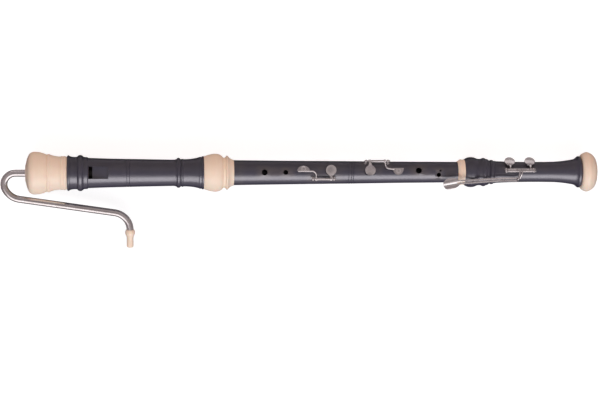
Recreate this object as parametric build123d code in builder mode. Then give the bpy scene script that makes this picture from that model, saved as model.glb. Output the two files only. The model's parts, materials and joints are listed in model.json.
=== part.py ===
from build123d import *
from math import asin, atan2, cos, degrees, hypot, radians, sin
import os

# Bass recorder in F with a bent metal mouth tube, lying on its back with its keys upwards.
# X runs from the head cap to the bell, Z points up through the front of the instrument, and the
# mouth tube lies on the -Y side. A station is a distance along the tube from the cap's outer face,
# and an angle round the tube is measured from the front (+Z) towards +Y.
# Lengths are in millimetres and angles in degrees.

os.makedirs("parts", exist_ok=True)

# Joints between the sections, as stations
BODY_LENGTH = 936.4
CAP_JOINT = 66.6
HEAD_SHOULDER = 288.0
MIDDLE_TOP = 337.1
MIDDLE_FOOT = 704.8
FOOT_SHOULDER = 716.5
BELL_SHOULDER = 911.0

# Turned radii and bores
CAP_RADIUS = 34.6
HEAD_BORE = 15.8
MIDDLE_BORE_TOP = 15.2
MIDDLE_BORE_FOOT = 12.8
FOOT_BORE = 12.5
RUNNING_CLEARANCE = 0.05
GLUE_LINE = 0.02

# Tenons and sockets
CAP_TENON_RADIUS = 21.8
CAP_TENON_START = 30.0
CHAMBER_FLOOR = 15.0
UPPER_TENON_RADIUS = 17.8
UPPER_TENON_START = 303.0
UPPER_SOCKET = 18.3
LOWER_TENON_RADIUS = 15.5
LOWER_TENON_END = 744.0
LOWER_SOCKET = 15.95
SPIGOT_RADIUS = 22.6
FOOT_SPIGOT_RADIUS = 17.9
BELL_SPIGOT_RADIUS = 16.2

# Windway and window
WINDOW_WIDTH = 19.8
WINDOW_EDGE = 101.4
LABIUM_EDGE = 107.7
LABIUM_END = 133.2
LABIUM_RISE = 20.4
BLOCK_START = 40.0
WINDWAY_ROOF = 16.6
WINDWAY_FLOOR = 15.1

# Mouth tube
TUBE_RADIUS = 5.65
TUBE_WALL = 0.8
TUBE_INSERT = 14.0
CORK_RADIUS = 7.0
TIGHT_BEND = 18.6
WIDE_BEND = 30.0
FAR_BEND = 29.2
TIGHT_TURN = 115.0
TUBE_SLOPE = 8.53
STRAIGHT_LENGTH = 155.6
BEND_START = 16.4
TAIL_LENGTH = 9.5
MOUTHPIECE_START = 95.2
MOUTHPIECE_END = 125.0
MOUTHPIECE_TIP = 5.6
BULB_END = 105.0
NECK_END = 115.0
TIP_ROUND = 2.2

# Keys
PAD_OPENING = 12.0
CUP_RADIUS = 8.6
CUP_BORE = 7.6
DOME_RISE = 1.2
DOME_BULGE = 0.3
PAD_RADIUS = 7.55
PAD_THICKNESS = 2.9
PAD_PROUD = 0.9
HINGE_TUBE = 2.1
HINGE_ROD = 1.2
FOOT_TUBE = 1.6
FOOT_ROD = 0.95
BALL_RADIUS = 2.55
FOOT_BALL = 2.3
PLATE = 1.8
ARM_RADIUS = 1.25
COLLAR_RISE = 0.7
WIRE_RADIUS = 0.3

# Hinge places as (distance across, height), both from the tube's axis
HINGE_3 = (-11.2, 20.7)
HINGE_4 = (18.0, 14.6)
HINGE_PAD = (3.9, 20.1)
HINGE_LEVER = (0.8, 21.9)

# Tone holes as (station, angle, radius)
THUMB_HOLE = (372.0, 180.0, 4.4)
HOLE_1 = (386.4, 0.0, 4.85)
HOLE_2 = (420.8, 0.0, 3.95)
HOLE_3 = (494.5, 10.0, 4.5)
HOLE_4 = (558.8, 4.5, 4.5)
HOLE_5 = (639.4, 8.5, 5.0)
HOLE_6_SMALL = (675.2, 7.0, 1.75)
HOLE_6_LARGE = (672.4, -16.5, 3.6)
HOLE_LOW_F_SHARP = (790.4, 54.5, 4.5)
HOLE_LOW_F = (823.8, 54.5, 4.5)

# The instrument stands on the cap and on the mouthpiece, so the mouth tube drops to the ground.
AXIS_HEIGHT = CAP_RADIUS
REACH = MOUTHPIECE_END - TIP_ROUND
TIP_FLAT = MOUTHPIECE_TIP - TIP_ROUND
STEEPEST = asin((AXIS_HEIGHT - TIP_ROUND) / hypot(REACH, TIP_FLAT))
TUBE_DROP = degrees(STEEPEST - atan2(TIP_FLAT, REACH))
TIP_REACH = REACH * cos(radians(TUBE_DROP)) + TIP_FLAT * sin(radians(TUBE_DROP)) + TIP_ROUND
CAP_FACE_X = -(BODY_LENGTH - BEND_START - TIGHT_BEND - TUBE_RADIUS) / 2
AXIS_Y = (TIP_REACH - CAP_RADIUS) / 2

UPWARDS = (Align.CENTER, Align.CENTER, Align.MIN)


def at(station, across=0.0, up=0.0):
    """Point at a station, with its distances across and above the tube's axis."""
    return (CAP_FACE_X + station, AXIS_Y + across, AXIS_HEIGHT + up)


def spoke(station, angle, radius=0.0):
    """Plane that faces outwards along a radius of the tube."""
    outward = (0, sin(radians(angle)), cos(radians(angle)))
    origin = at(station, radius * outward[1], radius * outward[2])
    return Plane(origin=origin, x_dir=(1, 0, 0), z_dir=outward)


# Turned outlines start on the back, clear of every hole.
SEAM = radians(-128.0)
LATHE = Plane(origin=at(0), x_dir=(1, 0, 0), z_dir=(0, -cos(SEAM), sin(SEAM)))
SPINDLE = Axis(at(0), (1, 0, 0))


def turned_face(start, cuts, bore):
    """Face between a turned outer edge and a bore.

    Each cut is (station, radius, bulge): a bead bulges outwards, a cove has a negative bulge.
    The bore's points run back from the far end to the start.
    """
    with BuildSketch(LATHE) as face:
        with BuildLine():
            here = start
            for station, radius, bulge in cuts:
                if bulge:
                    SagittaArc(here, (station, radius), bulge)
                else:
                    Line(here, (station, radius))
                here = (station, radius)
            Polyline(here, *bore, start)
        make_face()
    return face.sketch


def v_groove(station, radius):
    """Cuts of one fine turned line."""
    return [(station - 0.5, radius, 0), (station, radius - 0.45, 0), (station + 0.5, radius, 0)]


def turned_ring(start, end, inner, outer):
    """Plain ring between two stations and two radii."""
    cuts = [(start, outer, 0), (end, outer, 0)]
    return turned_face((start, inner), cuts, [(end, inner)])


def drill(hole):
    """Bore one tone hole from the tube's axis outwards in the open part."""
    station, angle, radius = hole
    with Locations(spoke(station, angle)):
        Cylinder(radius, 40, align=UPWARDS, mode=Mode.SUBTRACT)


def seat_pad(hole, sealing_height, floor_height):
    """Flat round a tone hole with a raised rim that the pad seals on."""
    station, angle, radius = hole
    with Locations(spoke(station, angle, floor_height)):
        Cylinder(CUP_RADIUS + 0.7, 10, align=UPWARDS, mode=Mode.SUBTRACT)
        Cylinder(radius + 1.6, sealing_height - floor_height, align=UPWARDS)


def drill_post(station, hinge, surface):
    """Stepped socket for one key post."""
    angle = degrees(atan2(*hinge))
    with Locations(spoke(station, angle, surface - 2.5)):
        Cylinder(1.7 + GLUE_LINE, 20, align=UPWARDS, mode=Mode.SUBTRACT)
    with Locations(spoke(station, angle, surface - 0.8)):
        Cylinder(2.6 + GLUE_LINE, 20, align=UPWARDS, mode=Mode.SUBTRACT)


def save(piece, name):
    """Label a finished piece and write it as its own file."""
    piece.part.label = name
    export_step(piece.part, f"parts/{name}.step")


# ---------------------------------------------------------------- head cap and mouth tube

with BuildPart() as head_cap:
    cap_edge = [
        (0.0, 13.8, 0), (0.8, 15.4, 0), (6.1, 31.0, 0.8), (16.5, CAP_RADIUS, 1.3),
        (34.4, 29.9, 1.1), (39.9, 29.9, 1.2), (56.0, 26.8, -0.6), (60.6, 26.9, 0.7),
        (65.4, 26.5, 0.9), (CAP_JOINT, 26.4, 0),
    ]
    cap_bore = [
        (CAP_JOINT, CAP_TENON_RADIUS + 0.25), (CHAMBER_FLOOR, CAP_TENON_RADIUS + 0.25),
        (CHAMBER_FLOOR, CORK_RADIUS + RUNNING_CLEARANCE),
    ]
    revolve(turned_face((0.0, CORK_RADIUS + RUNNING_CLEARANCE), cap_edge, cap_bore), axis=SPINDLE)
save(head_cap, "head_cap")

tilt = radians(TUBE_DROP)
TUBE_PLANE = Plane(origin=at(0), x_dir=(1, 0, 0), z_dir=(0, sin(tilt), -cos(tilt)))
WIDE_TURN = 180 - TUBE_SLOPE - TIGHT_TURN

with BuildLine() as flat_route:
    insert = Line((TUBE_INSERT, 0), (-BEND_START, 0))
    tight = JernArc(insert @ 1, insert % 1, TIGHT_BEND, -TIGHT_TURN)
    wide = JernArc(tight @ 1, tight % 1, WIDE_BEND, -WIDE_TURN)
    straight = PolarLine(wide @ 1, STRAIGHT_LENGTH, direction=wide % 1)
    far_bend = JernArc(straight @ 1, straight % 1, FAR_BEND, 90 - TUBE_SLOPE)
    tail = PolarLine(far_bend @ 1, TAIL_LENGTH, direction=far_bend % 1)
tube_route = TUBE_PLANE.from_local_coords(flat_route.line)
TUBE_TIP = tail @ 1

with BuildPart() as bocal_tube:
    with BuildSketch(Plane(origin=tube_route @ 0, z_dir=tube_route % 0)):
        Circle(TUBE_RADIUS)
        Circle(TUBE_RADIUS - TUBE_WALL, mode=Mode.SUBTRACT)
    sweep(path=tube_route)
save(bocal_tube, "bocal_tube")

with BuildPart() as bocal_cork:
    revolve(turned_ring(1.0, 13.0, TUBE_RADIUS, CORK_RADIUS), axis=SPINDLE)
save(bocal_cork, "bocal_cork")

mouth_origin = TUBE_PLANE.from_local_coords(Vector(TUBE_TIP.X, 0, 0))
mouth_axis = Axis(mouth_origin, TUBE_PLANE.y_dir)
MOUTH_PLANE = Plane(origin=mouth_origin, x_dir=TUBE_PLANE.y_dir, z_dir=TUBE_PLANE.z_dir)

with BuildPart() as bocal_mouthpiece:
    with BuildSketch(MOUTH_PLANE):
        with BuildLine():
            Line((MOUTHPIECE_START, TUBE_RADIUS + RUNNING_CLEARANCE), (MOUTHPIECE_START, 6.5))
            SagittaArc((MOUTHPIECE_START, 6.5), (BULB_END, 6.4), 1.6)
            SagittaArc((BULB_END, 6.4), (NECK_END, 5.5), -0.5)
            Line((NECK_END, 5.5), (MOUTHPIECE_END - TIP_ROUND, MOUTHPIECE_TIP))
            RadiusArc(
                (MOUTHPIECE_END - TIP_ROUND, MOUTHPIECE_TIP),
                (MOUTHPIECE_END, MOUTHPIECE_TIP - TIP_ROUND), TIP_ROUND,
            )
            Polyline(
                (MOUTHPIECE_END, MOUTHPIECE_TIP - TIP_ROUND), (MOUTHPIECE_END, 2.6),
                (TUBE_TIP.Y + 0.5, 3.4), (TUBE_TIP.Y + 0.5, TUBE_RADIUS + RUNNING_CLEARANCE),
                (MOUTHPIECE_START, TUBE_RADIUS + RUNNING_CLEARANCE),
            )
        make_face()
    revolve(axis=mouth_axis)
save(bocal_mouthpiece, "bocal_mouthpiece")

# ---------------------------------------------------------------- head

with BuildPart() as window_tool:
    with BuildSketch(Plane(origin=at(0), x_dir=(1, 0, 0), z_dir=(0, -1, 0))):
        Polygon(
            (WINDOW_EDGE, 8), (WINDOW_EDGE, 40), (LABIUM_END + 0.8, 40), (LABIUM_END, LABIUM_RISE),
            (LABIUM_EDGE, 16.3), (LABIUM_EDGE, 8), align=None,
        )
    extrude(amount=WINDOW_WIDTH / 2, both=True)

with BuildPart() as windway_tool:
    revolve(turned_ring(CAP_TENON_START - 1, WINDOW_EDGE + 0.1, 8, WINDWAY_ROOF), axis=SPINDLE)
    with Locations(at((CAP_TENON_START + WINDOW_EDGE) / 2)):
        Box(90, WINDOW_WIDTH, 30, align=UPWARDS, mode=Mode.INTERSECT)

with BuildPart() as head_joint:
    head_edge = [
        (CAP_TENON_START, CAP_TENON_RADIUS, 0), (49.0, CAP_TENON_RADIUS, 0), (49.0, 20.6, 0),
        (59.0, 20.6, 0), (59.0, CAP_TENON_RADIUS, 0), (CAP_JOINT + 0.2, CAP_TENON_RADIUS, 0),
        (CAP_JOINT + 0.2, 26.8, 0), (71.2, 27.6, 1.7), (83.2, 26.5, -0.8), (92.8, 27.0, 2.6),
        (94.6, 26.1, 0), (99.6, 25.8, 0), (101.2, 24.6, 0), (130.0, 23.55, 0),
        *v_groove(163.2, 22.85), *v_groove(167.4, 22.75), (238.0, 21.45, 0),
        (243.6, 22.4, -0.3), (250.4, 22.4, 2.1), (251.6, 22.0, 0), (255.0, 22.3, 0.8),
        (279.6, 25.1, -0.9),
        (284.2, 25.7, 0.6), (HEAD_SHOULDER, 26.6, 0.9), (HEAD_SHOULDER, SPIGOT_RADIUS, 0),
        (330.0, SPIGOT_RADIUS, 0),
    ]
    head_bore = [(330.0, UPPER_SOCKET), (UPPER_TENON_START - 0.5, UPPER_SOCKET),
                 (UPPER_TENON_START - 0.5, HEAD_BORE)]
    revolve(turned_face((CAP_TENON_START, HEAD_BORE), head_edge, head_bore), axis=SPINDLE)
    add(window_tool.part, mode=Mode.SUBTRACT)
    add(windway_tool.part, mode=Mode.SUBTRACT)
save(head_joint, "head_joint")

with BuildPart() as cap_seal:
    revolve(turned_ring(49.1, 58.9, 20.6, CAP_TENON_RADIUS + 0.2), axis=SPINDLE)
save(cap_seal, "cap_seal")

with BuildPart() as block:
    revolve(turned_ring(BLOCK_START, WINDOW_EDGE, 0, HEAD_BORE - GLUE_LINE), axis=SPINDLE)
    with BuildSketch(Plane(origin=at(BLOCK_START), x_dir=(0, 1, 0), z_dir=(1, 0, 0))):
        Circle(40)
        Circle(WINDWAY_FLOOR, mode=Mode.SUBTRACT)
        with Locations((0, 20)):
            Rectangle(WINDOW_WIDTH, 30, mode=Mode.INTERSECT)
    extrude(amount=WINDOW_EDGE - BLOCK_START, mode=Mode.SUBTRACT)
save(block, "block")

with BuildPart() as head_socket_ring:
    ring_edge = [
        (HEAD_SHOULDER + 0.1, 26.5, 0), (306.0, 31.1, 0.75), (316.0, 28.6, 0.7), (318.6, 25.9, 0.4),
        (324.4, 27.0, -1.9), (327.6, 26.8, 1.0), (MIDDLE_TOP - 0.3, 21.1, -1.0),
    ]
    ring_bore = [
        (MIDDLE_TOP - 0.3, UPPER_SOCKET + 0.1), (330.1, UPPER_SOCKET + 0.1),
        (330.1, SPIGOT_RADIUS + GLUE_LINE),
    ]
    inner_start = (HEAD_SHOULDER + 0.1, SPIGOT_RADIUS + GLUE_LINE)
    revolve(turned_face(inner_start, ring_edge, ring_bore), axis=SPINDLE)
save(head_socket_ring, "head_socket_ring")

# ---------------------------------------------------------------- middle joint

POSTS_3 = (465.0, 499.4)
POSTS_4 = (552.8, 588.8)
STRAP_STATION = 480.0
REST_STATION = 600.0
SCREW_SPACING = 20.0

with BuildPart() as middle_joint:
    middle_edge = [
        (UPPER_TENON_START, UPPER_TENON_RADIUS, 0), (308.0, UPPER_TENON_RADIUS, 0),
        (308.0, 17.0, 0), (331.0, 17.0, 0), (331.0, UPPER_TENON_RADIUS, 0),
        (MIDDLE_TOP, UPPER_TENON_RADIUS, 0), (MIDDLE_TOP, 20.45, 0), (450.0, 19.1, 0),
        *v_groove(524.2, 18.5), *v_groove(528.4, 18.45), *v_groove(531.8, 18.4),
        (600.0, 17.6, 0), (MIDDLE_FOOT, 16.9, 0),
        (MIDDLE_FOOT, LOWER_TENON_RADIUS, 0), (712.0, LOWER_TENON_RADIUS, 0), (712.0, 14.9, 0),
        (738.0, 14.9, 0), (738.0, LOWER_TENON_RADIUS, 0), (LOWER_TENON_END, LOWER_TENON_RADIUS, 0),
    ]
    middle_bore = [(LOWER_TENON_END, MIDDLE_BORE_FOOT)]
    middle_start = (UPPER_TENON_START, MIDDLE_BORE_TOP)
    revolve(turned_face(middle_start, middle_edge, middle_bore), axis=SPINDLE)
    seat_pad(HOLE_3, 18.4, 17.5)
    seat_pad(HOLE_4, 17.8, 16.9)
    with Locations(spoke(HOLE_6_LARGE[0] + 1.2, -9.0, 16.3)):
        Cylinder(8.0, 6, align=UPWARDS, mode=Mode.SUBTRACT)
    for hole in (THUMB_HOLE, HOLE_1, HOLE_2, HOLE_3, HOLE_4, HOLE_5, HOLE_6_SMALL, HOLE_6_LARGE):
        drill(hole)
    for station in POSTS_3:
        drill_post(station, HINGE_3, 18.8)
    for station in POSTS_4:
        drill_post(station, HINGE_4, 17.9)
    for plate_station, depth in ((STRAP_STATION, 16.5), (REST_STATION, 15.5)):
        for side in (-0.5, 0.5):
            with Locations(spoke(plate_station + side * SCREW_SPACING, 180.0, depth)):
                Cylinder(1.1, 20, align=UPWARDS, mode=Mode.SUBTRACT)
save(middle_joint, "middle_joint")

with BuildPart() as upper_tenon_cork:
    revolve(turned_ring(308.1, 330.9, 17.0, UPPER_SOCKET - RUNNING_CLEARANCE), axis=SPINDLE)
save(upper_tenon_cork, "upper_tenon_cork")

with BuildPart() as lower_tenon_cork:
    revolve(turned_ring(712.1, 737.9, 14.9, LOWER_SOCKET - RUNNING_CLEARANCE), axis=SPINDLE)
save(lower_tenon_cork, "lower_tenon_cork")

# ---------------------------------------------------------------- foot

FOOT_POSTS = (783.8, 829.2)

with BuildPart() as foot_socket_ring:
    foot_ring_edge = [
        (MIDDLE_FOOT + 0.2, 17.8, 0), (708.2, 20.0, -0.15), (712.4, 20.6, 0.9),
        (FOOT_SHOULDER - 0.1, 20.9, -0.15),
    ]
    foot_ring_bore = [
        (FOOT_SHOULDER - 0.1, FOOT_SPIGOT_RADIUS + GLUE_LINE), (709.0, FOOT_SPIGOT_RADIUS + GLUE_LINE),
        (709.0, LOWER_SOCKET + 0.1),
    ]
    foot_ring_start = (MIDDLE_FOOT + 0.2, LOWER_SOCKET + 0.1)
    revolve(turned_face(foot_ring_start, foot_ring_edge, foot_ring_bore), axis=SPINDLE)
save(foot_socket_ring, "foot_socket_ring")

with BuildPart() as foot_joint:
    foot_edge = [
        (709.1, FOOT_SPIGOT_RADIUS, 0), (FOOT_SHOULDER, FOOT_SPIGOT_RADIUS, 0),
        (FOOT_SHOULDER, 21.2, 0), (737.0, 22.5, 3.0), (745.2, 22.1, -0.6), (751.8, 22.3, 1.2),
        (753.0, 21.6, 0), (757.6, 19.6, 0.5), (758.8, 18.7, 0), (765.2, 18.7, 1.4), (766.2, 18.1, 0),
        (769.0, 17.9, 0.4), (771.0, 17.8, 0), (866.0, 16.9, -0.8), (898.6, 20.8, -0.6),
        (904.6, 24.4, -0.5), (910.2, 24.6, 1.5), (BELL_SHOULDER, 23.9, 0),
        (BELL_SHOULDER, BELL_SPIGOT_RADIUS, 0), (BODY_LENGTH, BELL_SPIGOT_RADIUS, 0),
    ]
    foot_bore = [
        (BODY_LENGTH, FOOT_BORE), (LOWER_TENON_END + 0.5, FOOT_BORE),
        (LOWER_TENON_END + 0.5, LOWER_SOCKET),
    ]
    revolve(turned_face((709.1, LOWER_SOCKET), foot_edge, foot_bore), axis=SPINDLE)
    for hole in (HOLE_LOW_F_SHARP, HOLE_LOW_F):
        seat_pad(hole, 17.0, 16.1)
        drill(hole)
    for station in FOOT_POSTS:
        drill_post(station, HINGE_PAD, 17.1)
save(foot_joint, "foot_joint")

with BuildPart() as bell_ring:
    bell_edge = [
        (BELL_SHOULDER + 0.1, 24.4, 0), (917.0, 31.3, 1.4), (925.2, 31.6, 1.3), (936.0, 19.0, 2.3),
        (BODY_LENGTH, BELL_SPIGOT_RADIUS + 0.8, 0),
    ]
    bell_bore = [(BODY_LENGTH, BELL_SPIGOT_RADIUS + GLUE_LINE)]
    bell_start = (BELL_SHOULDER + 0.1, BELL_SPIGOT_RADIUS + GLUE_LINE)
    revolve(turned_face(bell_start, bell_edge, bell_bore), axis=SPINDLE)
save(bell_ring, "bell_ring")

# ---------------------------------------------------------------- hinge posts, rods and springs


def key_posts(stations, hinges, surface, ball, rod):
    """Pair of ball-headed posts; the rod's holes go through every hinge of each post."""
    angle = degrees(atan2(*hinges[0]))
    reach = hypot(*hinges[0])
    with BuildPart() as posts:
        for station in stations:
            with Locations(spoke(station, angle, surface - 2.4)):
                Cylinder(1.7, reach - surface + 2.4, align=UPWARDS)
            with Locations(spoke(station, angle, surface - 0.7)):
                Cylinder(2.6, 1.4, align=UPWARDS)
            for across, up in hinges:
                with Locations(at(station, across, up)):
                    Sphere(ball)
        for across, up in hinges:
            length = 20 + stations[1] - stations[0]
            with Locations(Plane(origin=at(stations[0] - 10, across, up), z_dir=(1, 0, 0))):
                Cylinder(rod + GLUE_LINE, length, align=UPWARDS, mode=Mode.SUBTRACT)
    return posts


def hinge_rods(stations, hinges, ball, rod):
    """Hinge rods through a pair of posts, each with a slotted head on its far end."""
    low = stations[0] - ball - 0.2
    high = stations[1] + ball + 0.1
    with BuildPart() as rods:
        for across, up in hinges:
            with Locations(Plane(origin=at(low, across, up), z_dir=(1, 0, 0))):
                Cylinder(rod, high - low, align=UPWARDS)
            with Locations(Plane(origin=at(high, across, up), z_dir=(1, 0, 0))):
                Cylinder(rod + 0.45, 0.9, align=UPWARDS)
                with Locations((0, 0, 0.5)):
                    Box(0.35, 4, 1, align=UPWARDS, mode=Mode.SUBTRACT)
    return rods


def catch_drop(wall):
    """Depth of a spring's wire below the hinge of a tube."""
    return wall + WIRE_RADIUS + 0.4


def needle_spring(root, tip, hinge, side, wall):
    """Thin wire from its root in a post to its tip beside the catch under a hinge tube."""
    drop = catch_drop(wall)
    radius = hypot(*hinge) - drop
    gap = 0.4 + 0.3 + WIRE_RADIUS + drop * radians(PAD_OPENING)
    angle = degrees(atan2(*hinge)) - side * degrees(gap / radius)
    with BuildPart() as wire:
        with Locations(spoke((root + tip) / 2, angle, radius)):
            Cylinder(WIRE_RADIUS, abs(tip - root), rotation=(0, 90, 0))
    return wire


def spring_catch(station, hinge, wall):
    """Small blade under a hinge tube that the needle spring bears on, in the open part."""
    depth = catch_drop(wall) + 0.5
    with Locations(spoke(station, degrees(atan2(*hinge)), hypot(*hinge) - depth)):
        Box(1.2, 0.8, depth - wall + 0.3, align=UPWARDS)


save(key_posts(POSTS_3, [HINGE_3], 18.8, BALL_RADIUS, HINGE_ROD), "key_3_posts")
save(key_posts(POSTS_4, [HINGE_4], 17.9, BALL_RADIUS, HINGE_ROD), "key_4_posts")
save(key_posts(FOOT_POSTS, [HINGE_PAD, HINGE_LEVER], 17.1, FOOT_BALL, FOOT_ROD), "foot_key_posts")
save(hinge_rods(POSTS_3, [HINGE_3], BALL_RADIUS, HINGE_ROD), "key_3_rod")
save(hinge_rods(POSTS_4, [HINGE_4], BALL_RADIUS, HINGE_ROD), "key_4_rod")
save(hinge_rods(FOOT_POSTS, [HINGE_PAD], FOOT_BALL, FOOT_ROD), "foot_pad_rod")
save(hinge_rods(FOOT_POSTS, [HINGE_LEVER], FOOT_BALL, FOOT_ROD), "foot_lever_rod")
save(needle_spring(POSTS_3[1], 478.4, HINGE_3, 1, HINGE_TUBE), "key_3_spring")
save(needle_spring(POSTS_4[0], 572.8, HINGE_4, -1, HINGE_TUBE), "key_4_spring")
save(needle_spring(FOOT_POSTS[0], 800.0, HINGE_PAD, 1, FOOT_TUBE), "low_f_sharp_spring")
save(needle_spring(FOOT_POSTS[1], 814.4, HINGE_PAD, 1, FOOT_TUBE), "low_f_spring")

# ---------------------------------------------------------------- keys


def key_plane(hole, hinge, side):
    """Frame of an open key over its hole: origin on the hinge, Y to the pad, Z along its normal."""
    normal = radians(hole[1] - side * PAD_OPENING)
    return Plane(origin=at(hole[0], *hinge), x_dir=(side, 0, 0), z_dir=(0, sin(normal), cos(normal)))


def pad_place(hole, hinge, side, sealing_height):
    """Centre of the pad's sealing face in the key's own frame."""
    swing = radians(hole[1]) - atan2(*hinge)
    reach = hypot(*hinge)
    return (0, side * reach * sin(swing), sealing_height - reach * cos(swing))


def pad_disc(frame, place):
    """Soft pad in its cup."""
    with BuildPart(frame) as pad:
        with Locations(place):
            Cylinder(PAD_RADIUS, PAD_THICKNESS, align=UPWARDS)
        fillet(pad.edges().group_by(Axis(frame.origin, frame.z_dir))[0], 0.4)
    return pad


def bent_rod(points, bends, radius):
    """Round bar along straight runs with rounded corners, in the open part."""
    with BuildLine(mode=Mode.PRIVATE) as route:
        FilletPolyline(*points, radius=bends)
    with BuildSketch(Plane(origin=route.line @ 0, z_dir=route.line % 0), mode=Mode.PRIVATE) as section:
        Circle(radius)
    return sweep(section.sketch, path=route.line, mode=Mode.PRIVATE)


def hinge_tube(start, end, hinge, wall, rod):
    """Hinge tube with its running bore, in the open part."""
    with Locations(Plane(origin=at(start, *hinge), z_dir=(1, 0, 0))):
        Cylinder(wall, end - start, align=UPWARDS)
        Cylinder(rod + RUNNING_CLEARANCE, end - start, align=UPWARDS, mode=Mode.SUBTRACT)


def cup_face(frame, place):
    """Half section of a domed pad cup, on the plane through its axis."""
    x, y, z = place
    centre = frame.from_local_coords(Vector(x, y, z + PAD_PROUD))
    depth = PAD_THICKNESS - PAD_PROUD
    with BuildSketch(Plane(origin=centre, x_dir=frame.x_dir, z_dir=-frame.y_dir)) as section:
        with BuildLine():
            Polyline(
                (0, depth), (CUP_BORE, depth), (CUP_BORE, 0), (CUP_RADIUS, 0), (CUP_RADIUS, depth),
            )
            SagittaArc((CUP_RADIUS, depth), (0, depth + DOME_RISE), -DOME_BULGE)
            Line((0, depth + DOME_RISE), (0, depth))
        make_face()
    return section.sketch, Axis(centre, frame.z_dir)


def pad_key(frame, place, hinge, tube, wall, rod, flare, extras):
    """Hinge tube, pad cup and cup arm in one piece, with the key's own extras joined on.

    The arm runs from the tube to the cup's rim and carries a tab that widens to the flare.
    """
    rim = place[1] - CUP_BORE - 0.3
    spine = Edge.make_line(
        frame.from_local_coords(Vector(0, 0, 0.5)),
        frame.from_local_coords(Vector(0, rim, place[2] + 2.1)),
    )
    with BuildPart() as key:
        with Locations(Plane(origin=at(tube[0], *hinge), z_dir=(1, 0, 0))):
            Cylinder(wall, tube[1] - tube[0], align=UPWARDS)
        section, pad_axis = cup_face(frame, place)
        revolve(section, axis=pad_axis)
        with BuildSketch(Plane(origin=spine @ 0, z_dir=spine % 0)):
            Circle(ARM_RADIUS - 0.2)
        sweep(path=spine)
        with BuildSketch(frame.offset(place[2] + 1.4)):
            Polygon((-1.0, 1.3), (1.0, 1.3), (flare, rim), (-flare, rim), align=None)
        extrude(amount=1.2)
        for extra in extras:
            add(extra)
        with Locations(Plane(origin=at(tube[0] - 1, *hinge), z_dir=(1, 0, 0))):
            Cylinder(rod + RUNNING_CLEARANCE, tube[1] - tube[0] + 2, align=UPWARDS, mode=Mode.SUBTRACT)
    return key


def catch_blade(station, hinge, wall):
    """Spring catch as a separate body to be joined to a key."""
    with BuildPart() as blade:
        spring_catch(station, hinge, wall)
    return blade.part


def touch_plate(start, end, height, width, lip=0.0):
    """Leaf-shaped finger plate, dished on top; its straight side runs from start to end.

    Start and end are (station, across); the leaf grows to the left of that line, and a negative
    width grows it to the right. A lip stands on the straight side.
    """
    length = hypot(end[0] - start[0], end[1] - start[1])
    heading = Vector(end[0] - start[0], end[1] - start[1], 0).normalized()
    plane = Plane(origin=at(*start, height), x_dir=heading)
    side = width / abs(width)
    with BuildPart() as plate:
        with BuildSketch(plane):
            with Locations((length / 2, 0)):
                Ellipse(length / 2, abs(width))
            with Locations((length / 2, width / 2)):
                Rectangle(length, abs(width), mode=Mode.INTERSECT)
        extrude(amount=PLATE)
        with Locations(plane.from_local_coords(Vector(0.5 * length, 0.42 * width, PLATE + 11.4))):
            Sphere(12.2, mode=Mode.SUBTRACT)
        if lip:
            with BuildSketch(plane):
                with Locations((length / 2, side * 0.7)):
                    RectangleRounded(length, 1.4, 0.6)
            extrude(amount=PLATE + lip)
    return plate.part


def collar(station, hinge, wall):
    """Raised ring where an arm meets a hinge tube."""
    with BuildPart() as ring:
        with Locations(Plane(origin=at(station, *hinge), z_dir=(1, 0, 0))):
            Cylinder(wall + COLLAR_RISE, 2.6)
    return ring.part


KEY_3 = key_plane(HOLE_3, HINGE_3, 1)
PAD_3 = pad_place(HOLE_3, HINGE_3, 1, 18.4)
KEY_4 = key_plane(HOLE_4, HINGE_4, -1)
PAD_4 = pad_place(HOLE_4, HINGE_4, -1, 17.8)

touch_3 = touch_plate((438.8, 1.9), (459.4, 1.9), 23.9, 8.8)
arm_3 = bent_rod([at(440.4, 1.7, 24.9), at(470.2, 1.7, 24.9), at(470.2, *HINGE_3)], 7.0, ARM_RADIUS)
extras_3 = [touch_3, arm_3, catch_blade(481.0, HINGE_3, HINGE_TUBE)]
for station in (470.2, HOLE_3[0]):
    extras_3.append(collar(station, HINGE_3, HINGE_TUBE))
key_3_lever = pad_key(
    KEY_3, PAD_3, HINGE_3, (468.0, 496.4), HINGE_TUBE, HINGE_ROD, 3.2, extras_3)
save(key_3_lever, "key_3_lever")
save(pad_disc(KEY_3, PAD_3), "key_3_pad")

touch_4 = touch_plate((613.6, 6.8), (595.4, 6.8), 22.4, 11.4, 0.9)
arm_4 = bent_rod(
    [at(583.4, *HINGE_4), at(584.6, 6.6, 23.2), at(598.0, 4.4, 23.4)], 5.0, ARM_RADIUS)
extras_4 = [touch_4, arm_4, catch_blade(570.6, HINGE_4, HINGE_TUBE)]
for station in (HOLE_4[0], 583.4):
    extras_4.append(collar(station, HINGE_4, HINGE_TUBE))
key_4_lever = pad_key(
    KEY_4, PAD_4, HINGE_4, (555.8, 585.8), HINGE_TUBE, HINGE_ROD, 3.2, extras_4)
save(key_4_lever, "key_4_lever")
save(pad_disc(KEY_4, PAD_4), "key_4_pad")


def push_lug(finger, post, hinge):
    """Bracket on a pad key's tube that hangs over the tip of a lever's finger."""
    near = min(finger, post) - 1.0
    with BuildPart() as lug:
        with Locations(at(post, hinge[0], hinge[1] + FOOT_TUBE - 0.4)):
            Box(2.0, 1.8, 5.3, align=UPWARDS)
        with Locations(at(near, hinge[0] - 1.1, 25.6)):
            Box(abs(post - finger) + 2.0, 3.6, 1.0, align=(Align.MIN, Align.CENTER, Align.MIN))
    return lug.part


# Each foot key is a lever that pushes a separate pad key: (finger, bracket, tube, catch) stations
SHARP_STATIONS = (805.8, 801.2, (786.4, 807.2), 797.4)
LOW_STATIONS = (809.8, 814.4, (807.8, 826.6), 817.0)

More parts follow.
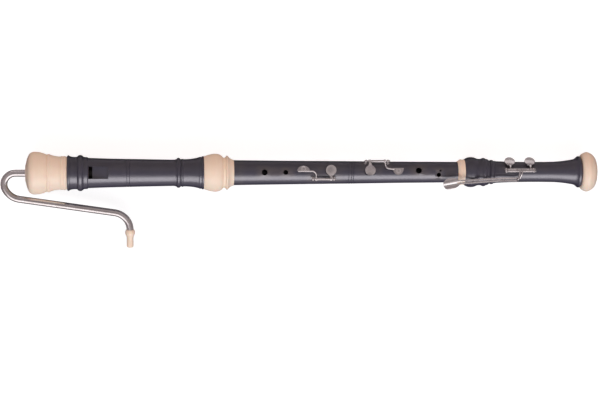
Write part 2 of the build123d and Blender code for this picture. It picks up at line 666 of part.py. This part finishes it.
for name, hole, stations in (
    ("low_f_sharp", HOLE_LOW_F_SHARP, SHARP_STATIONS), ("low_f", HOLE_LOW_F, LOW_STATIONS),
):
    finger, bracket, tube, catch = stations
    frame = key_plane(hole, HINGE_PAD, 1)
    place = pad_place(hole, HINGE_PAD, 1, 17.0)
    extras = [push_lug(finger, bracket, HINGE_PAD), catch_blade(catch, HINGE_PAD, FOOT_TUBE)]
    pad_lever = pad_key(frame, place, HINGE_PAD, tube, FOOT_TUBE, FOOT_ROD, 1.5, extras)
    save(pad_lever, f"{name}_pad_key")
    save(pad_disc(frame, place), f"{name}_pad")

LEVER_HEIGHT = 26.1
BAR_MIDDLE = 23.4
OUTER_END = 20.6
INNER_END = 19.8
ARCH_HEIGHT = 25.6
FINGER_TIP = 24.1
BAR_WIDTH = 2.8
FINGER_RADIUS = 1.3
SPOON_BACK = 9.0
SPOON_CROWN = 0.5


def spoon_plate(start, end, width):
    """Long leaf with a rounded back whose straight side runs from start to end, as (station, across).

    The leaf grows to the left of that line, or to the right for a negative width, and it draws in
    to the bar over its last third.
    """
    length = hypot(end[0] - start[0], end[1] - start[1])
    heading = Vector(end[0] - start[0], end[1] - start[1], 0).normalized()
    plane = Plane(origin=at(*start, LEVER_HEIGHT - PLATE / 2), x_dir=heading)
    back = plane.from_local_coords(Vector(0, 0.5 * width, PLATE + SPOON_CROWN - SPOON_BACK))
    with BuildPart() as spoon:
        with BuildSketch(plane):
            with BuildLine():
                ThreePointArc((0, 0), (0.1 * length, 0.72 * width), (0.38 * length, width))
                ThreePointArc(
                    (0.38 * length, width), (0.62 * length, 0.84 * width),
                    (0.8 * length, 0.46 * width),
                )
                ThreePointArc(
                    (0.8 * length, 0.46 * width), (0.89 * length, 0.25 * width),
                    (length, 0.12 * width),
                )
                Line((length, 0.12 * width), (length, 0))
                Line((length, 0), (0, 0))
            make_face()
        extrude(amount=PLATE + SPOON_CROWN)
        with Locations(Plane(origin=back, z_dir=heading)):
            Cylinder(SPOON_BACK, 3 * length, mode=Mode.INTERSECT)
    return spoon.part


def long_lever(finger, tube, plan, touch):
    """Foot lever: hinge tube, curved finger, long flat bar and finger plate.

    The plan runs along the bar to the plate and the finger runs from the bar to its tip over the
    tube, both as (station, across, up) points.
    """
    with BuildPart() as lever:
        hinge_tube(tube[0], tube[1], HINGE_LEVER, FOOT_TUBE, FOOT_ROD)
        add(bent_rod([at(*point) for point in finger], 1.4, FINGER_RADIUS))
        with BuildLine() as plan_line:
            FilletPolyline(*[at(*point) for point in plan], radius=25)
        with BuildSketch(Plane(origin=plan_line.line @ 0, x_dir=(0, 0, 1), z_dir=plan_line.line % 0)):
            RectangleRounded(PLATE, BAR_WIDTH, 0.6)
        sweep(path=plan_line.line)
        add(touch)
    return lever


# The bars fall towards the hinge, and the outer finger arches over the inner bar.
outer_plan = [
    (801.4, -14.4, OUTER_END), (772.0, -14.4, BAR_MIDDLE),
    (738.8, -16.6, LEVER_HEIGHT), (706.0, -18.7, LEVER_HEIGHT),
]
inner_plan = [
    (806.4, -10.6, INNER_END), (776.0, -10.6, BAR_MIDDLE),
    (738.8, -12.6, LEVER_HEIGHT), (703.0, -14.6, LEVER_HEIGHT),
]
outer_finger = [
    (801.6, -14.4, OUTER_END), (802.4, -12.8, ARCH_HEIGHT - 0.8), (804.2, -6.6, ARCH_HEIGHT),
    (805.6, -1.0, FINGER_TIP), (805.8, 3.0, FINGER_TIP),
]
inner_finger = [
    (806.4, -10.6, INNER_END), (808.8, -4.4, 23.4), (809.6, -0.8, FINGER_TIP), (809.8, 3.0, FINGER_TIP),
]
outer_touch = spoon_plate((678.6, -22.6), (710.0, -17.2), -8.0)
inner_touch = spoon_plate((678.0, -21.8), (711.0, -15.6), 9.0)
save(long_lever(outer_finger, SHARP_STATIONS[2], outer_plan, outer_touch), "low_f_sharp_lever")
save(long_lever(inner_finger, LOW_STATIONS[2], inner_plan, inner_touch), "low_f_lever")


def curved_pad(start, end, inner, outer, angle, spread):
    """Plate that follows the tube's surface, centred on an angle round it."""
    edge_plane = spoke(start, angle - spread)
    with BuildSketch(Plane(origin=at(0), x_dir=(1, 0, 0), z_dir=-edge_plane.y_dir)) as section:
        with Locations((start, inner)):
            Rectangle(end - start, outer - inner, align=(Align.MIN, Align.MIN))
    return revolve(section.sketch, axis=SPINDLE, revolution_arc=-2 * spread, mode=Mode.PRIVATE)


with BuildPart() as lever_bumper:
    add(curved_pad(725.5, 730.5, 24.95, 25.6, -36.0, 9.0))
save(lever_bumper, "lever_bumper")

# ---------------------------------------------------------------- sling ring and thumb rest

RING_RADIUS = 7.2
RING_WIRE = 1.2
RING_PIVOT = 23.0
RING_DROOP = degrees(asin((AXIS_HEIGHT - RING_PIVOT - RING_WIRE - 0.1) / (2 * RING_RADIUS)))

with BuildPart() as strap_plate:
    add(curved_pad(STRAP_STATION - 14, STRAP_STATION + 14, 19.1, 20.4, 180.0, 20.0))
    with BuildSketch(Plane(origin=at(STRAP_STATION, 1.2, 0), x_dir=(1, 0, 0), z_dir=(0, -1, 0))):
        with Locations((0, -RING_PIVOT)):
            Circle(3.4)
        with Locations((0, -19.5)):
            Rectangle(6.8, RING_PIVOT - 19.5, align=(Align.CENTER, Align.MAX))
        with Locations((0, -RING_PIVOT)):
            Circle(RING_WIRE + 0.45, mode=Mode.SUBTRACT)
    extrude(amount=2.4)
    for side in (-0.5, 0.5):
        with Locations(spoke(STRAP_STATION + side * SCREW_SPACING, 180.0)):
            Cylinder(1.15, 30, align=UPWARDS, mode=Mode.SUBTRACT)
save(strap_plate, "strap_plate")

ring_centre = at(
    STRAP_STATION + RING_RADIUS * cos(radians(RING_DROOP)), 0,
    -RING_PIVOT - RING_RADIUS * sin(radians(RING_DROOP)),
)
ring_normal = (sin(radians(RING_DROOP)), 0, cos(radians(RING_DROOP)))

with BuildPart(Plane(origin=ring_centre, x_dir=(0, 1, 0), z_dir=ring_normal)) as strap_ring:
    Torus(RING_RADIUS, RING_WIRE)
save(strap_ring, "strap_ring")

with BuildPart() as thumb_rest:
    add(curved_pad(REST_STATION - 14, REST_STATION + 14, 17.9, 19.2, 180.0, 24.0))
    with BuildSketch(Plane(origin=at(REST_STATION + 3), x_dir=(0, 1, 0), z_dir=(1, 0, 0))):
        with Locations((0, -18.2)):
            Rectangle(13, 8, align=(Align.CENTER, Align.MAX))
        with Locations((0, -26.2)):
            Ellipse(9, 5)
    extrude(amount=2.0)
    fillet(thumb_rest.edges().filter_by(GeomType.ELLIPSE), 0.8)
    for side in (-0.5, 0.5):
        with Locations(spoke(REST_STATION + side * SCREW_SPACING, 180.0)):
            Cylinder(1.15, 30, align=UPWARDS, mode=Mode.SUBTRACT)
save(thumb_rest, "thumb_rest")


def plate_screws(station, root, seat):
    """Two round-headed slotted screws of a plate on the back."""
    with BuildPart() as screws:
        for side in (-0.5, 0.5):
            place = station + side * SCREW_SPACING
            with Locations(spoke(place, 180.0, root)):
                Cylinder(1.05, seat - root, align=UPWARDS)
            with Locations(spoke(place, 180.0, seat)):
                Cylinder(2.1, 1.1, align=UPWARDS)
                with Locations((0, 0, 0.6)):
                    Box(0.5, 6, 1, align=UPWARDS, mode=Mode.SUBTRACT)
    return screws


save(plate_screws(STRAP_STATION, 17.0, 20.4), "strap_screws")
save(plate_screws(REST_STATION, 15.8, 19.2), "thumb_rest_screws")
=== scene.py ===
import json
import math

import bpy
from mathutils import Matrix, Vector

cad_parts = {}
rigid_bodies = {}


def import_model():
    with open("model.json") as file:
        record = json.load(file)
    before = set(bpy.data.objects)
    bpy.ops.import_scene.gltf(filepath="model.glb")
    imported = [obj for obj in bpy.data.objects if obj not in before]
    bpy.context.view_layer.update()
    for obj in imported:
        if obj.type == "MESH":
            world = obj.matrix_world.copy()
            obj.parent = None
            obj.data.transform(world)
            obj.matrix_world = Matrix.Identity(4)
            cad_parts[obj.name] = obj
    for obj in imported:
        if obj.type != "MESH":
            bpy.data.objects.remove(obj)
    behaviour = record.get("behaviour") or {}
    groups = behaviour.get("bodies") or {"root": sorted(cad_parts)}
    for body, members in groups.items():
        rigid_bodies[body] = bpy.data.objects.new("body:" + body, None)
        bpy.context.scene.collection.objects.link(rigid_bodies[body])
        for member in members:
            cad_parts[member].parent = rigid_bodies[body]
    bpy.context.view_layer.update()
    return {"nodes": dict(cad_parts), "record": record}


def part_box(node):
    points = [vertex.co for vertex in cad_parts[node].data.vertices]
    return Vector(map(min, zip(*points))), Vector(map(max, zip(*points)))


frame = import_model()

MM = 0.001

# Places of the factor and the two colours, and of the result, on a colour mix node
MIX_SOCKETS = (0, 6, 7)
MIX_RESULT = 2


# ---------------------------------------------------------------- node helpers

class Shader:
    """A material's node tree with short calls for the nodes that are used here."""

    def __init__(self, name):
        self.material = bpy.data.materials.new(name)
        self.material.use_nodes = True
        self.nodes = self.material.node_tree.nodes
        self.links = self.material.node_tree.links
        self.surface = self.nodes["Principled BSDF"]
        self.place = self.add("ShaderNodeTexCoord").outputs["Object"]

    def add(self, kind, **settings):
        """New node with its settings."""
        node = self.nodes.new(kind)
        for key, value in settings.items():
            setattr(node, key, value)
        return node

    def link(self, source, target):
        """Link between two sockets."""
        self.links.new(source, target)

    def constant(self, **values):
        """Constants on the shader's own sockets; an underscore in a name stands for a space."""
        for key, value in values.items():
            self.surface.inputs[key.replace("_", " ")].default_value = value

    def stretched(self, scale):
        """Object coordinates stretched along the axes."""
        mapping = self.add("ShaderNodeMapping")
        mapping.inputs["Scale"].default_value = scale
        self.link(self.place, mapping.inputs["Vector"])
        return mapping.outputs["Vector"]

    def noise(self, size, detail=4.0, rough=0.55, stretch=(1, 1, 1)):
        """Noise whose features measure about size metres; stretch above 1 shortens them."""
        node = self.add("ShaderNodeTexNoise")
        node.inputs["Scale"].default_value = 1.0 / size
        node.inputs["Detail"].default_value = detail
        node.inputs["Roughness"].default_value = rough
        self.link(self.stretched(stretch), node.inputs["Vector"])
        return node.outputs["Fac"]

    def cells(self, size):
        """Distance pattern of cells that measure about size metres."""
        node = self.add("ShaderNodeTexVoronoi", feature="F1")
        node.inputs["Scale"].default_value = 1.0 / size
        self.link(self.place, node.inputs["Vector"])
        return node.outputs["Distance"]

    def ramp(self, source, stops):
        """Colour ramp; each stop is (position, colour or grey)."""
        node = self.add("ShaderNodeValToRGB")
        elements = node.color_ramp.elements
        while len(elements) < len(stops):
            elements.new(0.5)
        for element, (position, colour) in zip(elements, stops):
            grey = isinstance(colour, (int, float))
            element.position = position
            element.color = (colour, colour, colour, 1) if grey else (*colour, 1)
        self.link(source, node.inputs["Fac"])
        return node.outputs["Color"]

    def mix(self, factor, first, second):
        """Blend of two colours; each argument is a socket or a constant."""
        node = self.add("ShaderNodeMix", data_type="RGBA")
        sockets = [node.inputs[place] for place in MIX_SOCKETS]
        for value, socket in zip((factor, first, second), sockets):
            if isinstance(value, bpy.types.NodeSocket):
                self.link(value, socket)
            elif isinstance(value, (int, float)):
                socket.default_value = value
            else:
                socket.default_value = (*value, 1)
        return node.outputs[MIX_RESULT]

    def creases(self, low, high):
        """Grey that is dark in creases and light on outside corners."""
        geometry = self.add("ShaderNodeNewGeometry")
        return self.ramp(geometry.outputs["Pointiness"], [(low, 0.0), (high, 1.0)])

    def bump(self, heights, distance):
        """Bump from one or more (height, strength) layers, chained."""
        normal = None
        for height, strength in heights:
            node = self.add("ShaderNodeBump")
            node.inputs["Strength"].default_value = strength
            node.inputs["Distance"].default_value = distance
            self.link(height, node.inputs["Height"])
            if normal:
                self.link(normal, node.inputs["Normal"])
            normal = node.outputs["Normal"]
        self.link(normal, self.surface.inputs["Normal"])

    def colour(self, source):
        """Base colour from a socket."""
        self.link(source, self.surface.inputs["Base Color"])

    def roughness(self, source):
        """Roughness from a socket."""
        self.link(source, self.surface.inputs["Roughness"])


# ---------------------------------------------------------------- materials

def dark_plastic():
    """Deep purple-brown moulded plastic with a satin skin, faint handling marks and painted shade in
    its creases.
    """
    s = Shader("dark_plastic")
    cloud = s.noise(60 * MM, 3)
    tone = s.ramp(cloud, [(0.3, (0.022, 0.0215, 0.040)), (0.7, (0.027, 0.026, 0.047))])
    worn = s.mix(s.creases(0.52, 0.60), tone, (0.055, 0.047, 0.052))
    # Near-black colour in the creases: painted shade
    s.colour(s.mix(s.creases(0.40, 0.48), (0.008, 0.007, 0.008), worn))
    marks = s.noise(9 * MM, 6, 0.65)
    s.roughness(s.ramp(marks, [(0.3, 0.32), (0.7, 0.40)]))
    grain = s.noise(0.7 * MM, 2)
    turning = s.noise(0.5 * MM, 2, 0.5, (1, 0.02, 0.02))
    s.bump([(grain, 0.05), (turning, 0.03)], 0.1 * MM)
    s.constant(IOR=1.5, Specular_IOR_Level=1.0, Coat_Weight=0.5, Coat_Roughness=0.3)
    return s.material


def ivory_plastic():
    """Warm ivory plastic, a little translucent, with painted shade in its creases and fine turning
    marks.
    """
    s = Shader("ivory_plastic")
    cloud = s.noise(25 * MM, 4)
    tone = s.ramp(cloud, [(0.3, (0.80, 0.66, 0.53)), (0.7, (0.83, 0.695, 0.565))])
    streaks = s.noise(1.5 * MM, 3, 0.5, (1, 0.05, 0.05))
    tone = s.mix(s.ramp(streaks, [(0.35, 0.06), (0.65, 0.0)]), tone, (0.66, 0.47, 0.30))
    # Darker brown in the creases: painted shade
    s.colour(s.mix(s.creases(0.38, 0.49), (0.52, 0.34, 0.20), tone))
    s.roughness(s.ramp(s.noise(6 * MM, 5), [(0.3, 0.34), (0.7, 0.44)]))
    s.bump([(s.noise(0.6 * MM, 2), 0.04), (streaks, 0.04)], 0.1 * MM)
    s.constant(IOR=1.48, Subsurface_Weight=0.12, Subsurface_Scale=0.003)
    return s.material


def plated(name, colour, dull, rough, stretch):
    """Polished nickel plating with clouding, hairline polishing marks and painted shade in its
    creases.
    """
    s = Shader(name)
    cloud = s.noise(14 * MM, 4)
    tone = s.ramp(cloud, [(0.35, dull), (0.65, colour)])
    # Darker in the creases: painted shade
    s.colour(s.mix(s.creases(0.36, 0.47), tuple(0.35 * c for c in dull), tone))
    hairs = s.noise(1.2 * MM, 5, 0.7, stretch)
    s.roughness(s.ramp(hairs, [(0.3, rough), (0.75, rough + 0.10)]))
    s.bump([(hairs, 0.03), (s.noise(3 * MM, 2), 0.03)], 0.05 * MM)
    s.constant(Metallic=1.0)
    return s.material


def steel(name, colour, rough):
    """Turned steel with fine rings along its length."""
    s = Shader(name)
    rings = s.noise(0.4 * MM, 3, 0.6, (1, 0.1, 0.1))
    s.colour(s.ramp(rings, [(0.3, tuple(0.8 * c for c in colour)), (0.7, colour)]))
    s.roughness(s.ramp(s.noise(2 * MM, 4), [(0.3, rough), (0.7, rough + 0.12)]))
    s.bump([(rings, 0.08)], 0.03 * MM)
    s.constant(Metallic=1.0)
    return s.material


def cork():
    """Natural cork: warm brown cells with dark pores."""
    s = Shader("cork")
    cells = s.cells(1.1 * MM)
    tone = s.ramp(s.noise(2 * MM, 5), [(0.3, (0.36, 0.20, 0.10)), (0.7, (0.60, 0.40, 0.22))])
    pores = s.ramp(cells, [(0.0, 0.0), (0.35, 1.0)])
    s.colour(s.mix(pores, (0.10, 0.05, 0.025), tone))
    s.roughness(s.ramp(cells, [(0.0, 0.9), (1.0, 0.65)]))
    s.bump([(cells, 0.5)], 0.1 * MM)
    return s.material


def pad_leather():
    """Tan pad leather with a fine pebbled grain."""
    s = Shader("pad_leather")
    grain = s.cells(0.45 * MM)
    tone = s.ramp(s.noise(3 * MM, 4), [(0.3, (0.36, 0.23, 0.13)), (0.7, (0.50, 0.35, 0.22))])
    s.colour(s.mix(s.ramp(grain, [(0.1, 0.0), (0.5, 1.0)]), (0.20, 0.12, 0.07), tone))
    s.roughness(s.ramp(grain, [(0.0, 0.8), (1.0, 0.55)]))
    s.bump([(grain, 0.35)], 0.06 * MM)
    return s.material


def felt():
    """Dark wool felt with loose fibres."""
    s = Shader("felt")
    fibre = s.noise(0.35 * MM, 6, 0.75, (1, 0.3, 1))
    s.colour(s.ramp(fibre, [(0.3, (0.018, 0.016, 0.018)), (0.7, (0.07, 0.06, 0.065))]))
    s.roughness(s.ramp(fibre, [(0.0, 0.95), (1.0, 0.8)]))
    s.bump([(fibre, 0.6)], 0.1 * MM)
    s.constant(Sheen_Weight=0.4)
    return s.material


MATERIALS = {
    "dark_body": dark_plastic(),
    "ivory": ivory_plastic(),
    "tube_metal": plated(
        "nickel_tube", (0.80, 0.765, 0.76), (0.66, 0.615, 0.60), 0.12, (0.15, 1, 1)
    ),
    "key_metal": plated("nickel_keys", (0.86, 0.825, 0.82), (0.72, 0.68, 0.67), 0.14, (0.4, 1, 1)),
    "rod_steel": steel("rod_steel", (0.62, 0.60, 0.60), 0.22),
    "spring_steel": steel("blued_steel", (0.06, 0.08, 0.16), 0.25),
    "cork": cork(),
    "pad_leather": pad_leather(),
    "felt": felt(),
}
MATERIALS["block_plastic"] = MATERIALS["ivory"]

for entry in frame["record"]["subparts"]:
    mesh = frame["nodes"][entry["node"]].data
    mesh.materials.clear()
    mesh.materials.append(MATERIALS[entry["material_slot"]])


# ---------------------------------------------------------------- floor, light and camera

CAP_LOW, CAP_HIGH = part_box("head_cap")
AXIS_Y = (CAP_LOW[1] + CAP_HIGH[1]) / 2
AXIS_Z = (CAP_LOW[2] + CAP_HIGH[2]) / 2

# Point that the camera looks at: along the body from the cap, and off its axis
VIEW_STATION = 445.4 * MM
VIEW_OFFSET = 45.0 * MM
FLOOR_SIZE = 12
FLOOR_GAP = 0.4 * MM
FLOOR_GLOW = 0.80


def pale_floor():
    """Plain white light table under the instrument, which throws almost no shadow."""
    bpy.ops.mesh.primitive_plane_add(size=FLOOR_SIZE, location=(0, 0, -FLOOR_GAP))
    floor = bpy.context.object
    floor.name = "studio_floor"
    s = Shader("studio_white")
    s.colour(s.ramp(s.noise(0.4, 3), [(0.3, 0.36), (0.7, 0.38)]))
    s.constant(Roughness=0.9, Specular_IOR_Level=0.0)
    s.constant(Emission_Color=(1, 1, 1, 1), Emission_Strength=FLOOR_GLOW)
    floor.data.materials.append(s.material)
    floor.visible_glossy = False
    floor.visible_diffuse = False


def studio_world():
    """Room light: pale round the horizon and overhead, dark below and in a patch straight up."""
    world = bpy.data.worlds.new("studio")
    bpy.context.scene.world = world
    world.use_nodes = True
    nodes = world.node_tree.nodes
    links = world.node_tree.links
    place = nodes.new("ShaderNodeTexCoord")
    split = nodes.new("ShaderNodeSeparateXYZ")
    ramp = nodes.new("ShaderNodeValToRGB")
    elements = ramp.color_ramp.elements
    for _ in range(3):
        elements.new(0.5)
    stops = (
        (0.20, (0.03, 0.028, 0.032)), (0.34, (0.42, 0.38, 0.375)),
        (0.60, (0.22, 0.185, 0.20)), (0.96, (0.42, 0.375, 0.375)), (0.992, (0.27, 0.24, 0.245)),
    )
    for element, (position, colour) in zip(elements, stops):
        element.position = position
        element.color = (*colour, 1)
    links.new(place.outputs["Generated"], split.inputs["Vector"])
    # Straight down is 0 on the ramp, the horizon 0.5 and straight up 1.
    halve = nodes.new("ShaderNodeMath")
    halve.operation = "MULTIPLY_ADD"
    halve.inputs[1].default_value = 0.5
    halve.inputs[2].default_value = 0.5
    links.new(split.outputs["Z"], halve.inputs[0])
    links.new(halve.outputs["Value"], ramp.inputs["Fac"])
    links.new(ramp.outputs["Color"], nodes["Background"].inputs["Color"])
    nodes["Background"].inputs["Strength"].default_value = 1.0


def lit_group(name, materials):
    """Collection of the meshes that are made of these materials."""
    group = bpy.data.collections.new(name)
    for obj in bpy.data.objects:
        if obj.type == "MESH" and obj.data.materials and obj.data.materials[0] in materials:
            group.objects.link(obj)
    return group


def soft_light(name, place, aim, size, power, tint=(1, 1, 1), glossy=True, only=None):
    """Rectangular soft light that faces a point and may light only one group."""
    data = bpy.data.lights.new(name, "AREA")
    data.shape = "RECTANGLE"
    data.size, data.size_y = size
    data.energy = power
    data.color = tint
    light = bpy.data.objects.new(name, data)
    bpy.context.collection.objects.link(light)
    light.location = place
    direction = Vector(aim) - Vector(place)
    light.rotation_euler = direction.to_track_quat("-Z", "Y").to_euler()
    light.visible_glossy = glossy
    if only:
        light.light_linking.receiver_collection = only


def camera():
    """Long lens from above, standing a little towards the cap, level with the instrument's length."""
    distance = 3.27
    yaw = math.radians(4.9)
    roll = math.radians(0.209)
    aim = Vector((CAP_LOW[0] + VIEW_STATION, AXIS_Y - VIEW_OFFSET, AXIS_Z))
    forward = Vector((math.sin(yaw), 0, -math.cos(yaw)))
    right = Vector((math.cos(yaw), 0, math.sin(yaw)))
    upward = right.cross(forward)
    turned = math.cos(roll) * upward + math.sin(roll) * right
    right = math.cos(roll) * right - math.sin(roll) * upward
    data = bpy.data.cameras.new("camera")
    data.lens = 119.9
    data.sensor_width = 36
    data.clip_end = 50
    eye = bpy.data.objects.new("camera", data)
    bpy.context.collection.objects.link(eye)
    basis = Matrix((right, turned, -forward)).transposed().to_4x4()
    eye.matrix_world = Matrix.Translation(aim - distance * forward) @ basis
    bpy.context.scene.camera = eye


pale_floor()
studio_world()
SHINY = [MATERIALS[slot] for slot in ("tube_metal", "key_metal", "rod_steel", "spring_steel")]
PALE = [MATERIALS["ivory"]]
DARK = [material for material in bpy.data.materials if material not in SHINY + PALE]
metals = lit_group("metal_pieces", SHINY)
ivories = lit_group("ivory_pieces", PALE)
others = lit_group("dark_pieces", DARK)
NEAR_AXIS = (0, 0, 0.03)
SOFTBOX = ((0, -1.85, 1.25), NEAR_AXIS, (3.4, 1.7))
LOW_CARD = ((0, -1.8, 0.45), NEAR_AXIS, (3.4, 0.8))
FAR_CARD = ((0, 2.2, 0.5), NEAR_AXIS, (3.4, 0.9))
FILL = ((0, 2.0, 1.6), (0, 0, 0), (2.6, 1.0))
soft_light("side_softbox", *SOFTBOX, 68, (0.99, 0.95, 1.0), True, others)
soft_light("ivory_softbox", *SOFTBOX, 55, (0.99, 0.98, 1.0), True, ivories)
soft_light("metal_softbox", *SOFTBOX, 19, (1.0, 0.98, 1.0), True, metals)
soft_light("low_card", *LOW_CARD, 6, (1.0, 0.98, 1.0), True, metals)
soft_light("far_card", *FAR_CARD, 4.8, (1.0, 0.95, 0.95), True, metals)
soft_light("warm_fill", *FILL, 37, (1.0, 0.78, 0.67), False)
camera()
bpy.context.scene.view_settings.view_transform = "Standard"
